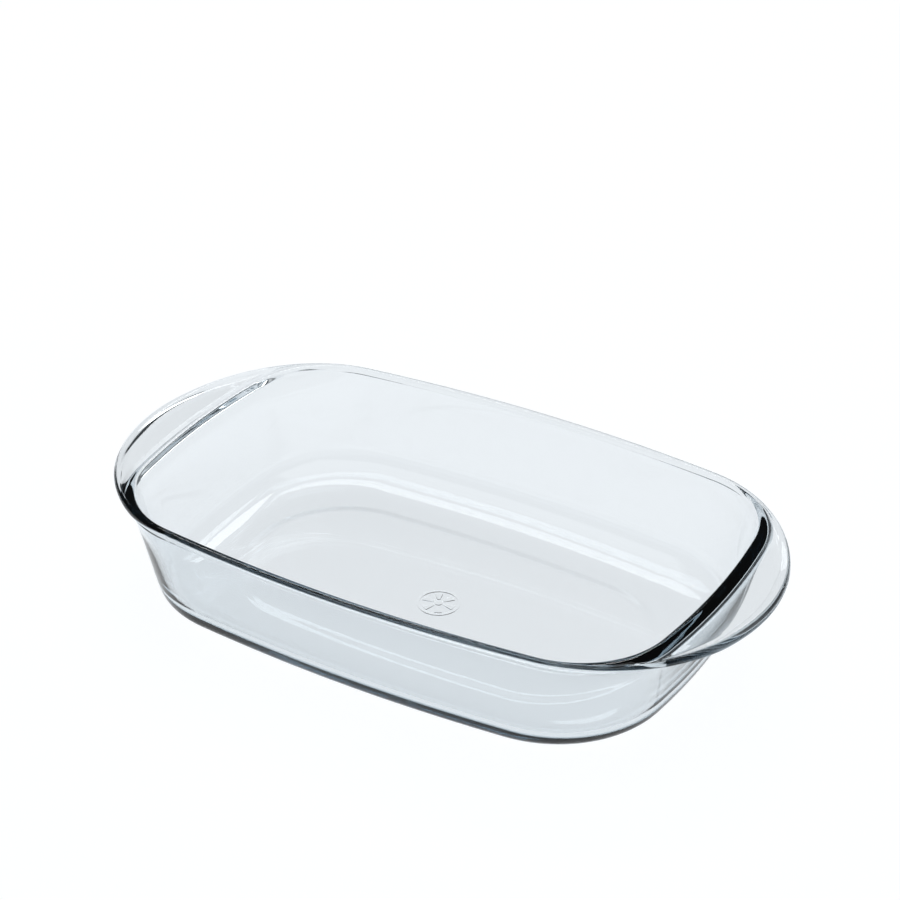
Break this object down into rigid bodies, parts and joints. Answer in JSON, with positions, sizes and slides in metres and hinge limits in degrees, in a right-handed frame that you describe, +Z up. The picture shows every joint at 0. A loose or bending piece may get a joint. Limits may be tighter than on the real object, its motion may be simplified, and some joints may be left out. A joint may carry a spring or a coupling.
{
  "type": "glass roasting dish",
  "caption": "Clear pressed-glass rectangular baking dish with rounded corners, tapered walls, a ridged rim and a crescent hand ledge at each end.",
  "frame": {"origin": "middle of the dish on the table plane, at the foot ring", "axes": "+X along the length towards one handle, +Y across the width, +Z up towards the open rim"},
  "size_m": [0.38, 0.216, 0.065],
  "materials": {
    "clear_glass": "polished, as pressed and fire-finished ovenproof glass"
  },
  "bodies": {
    "root": {"baking_dish": "clear_glass"}
  },
  "joints": []
}
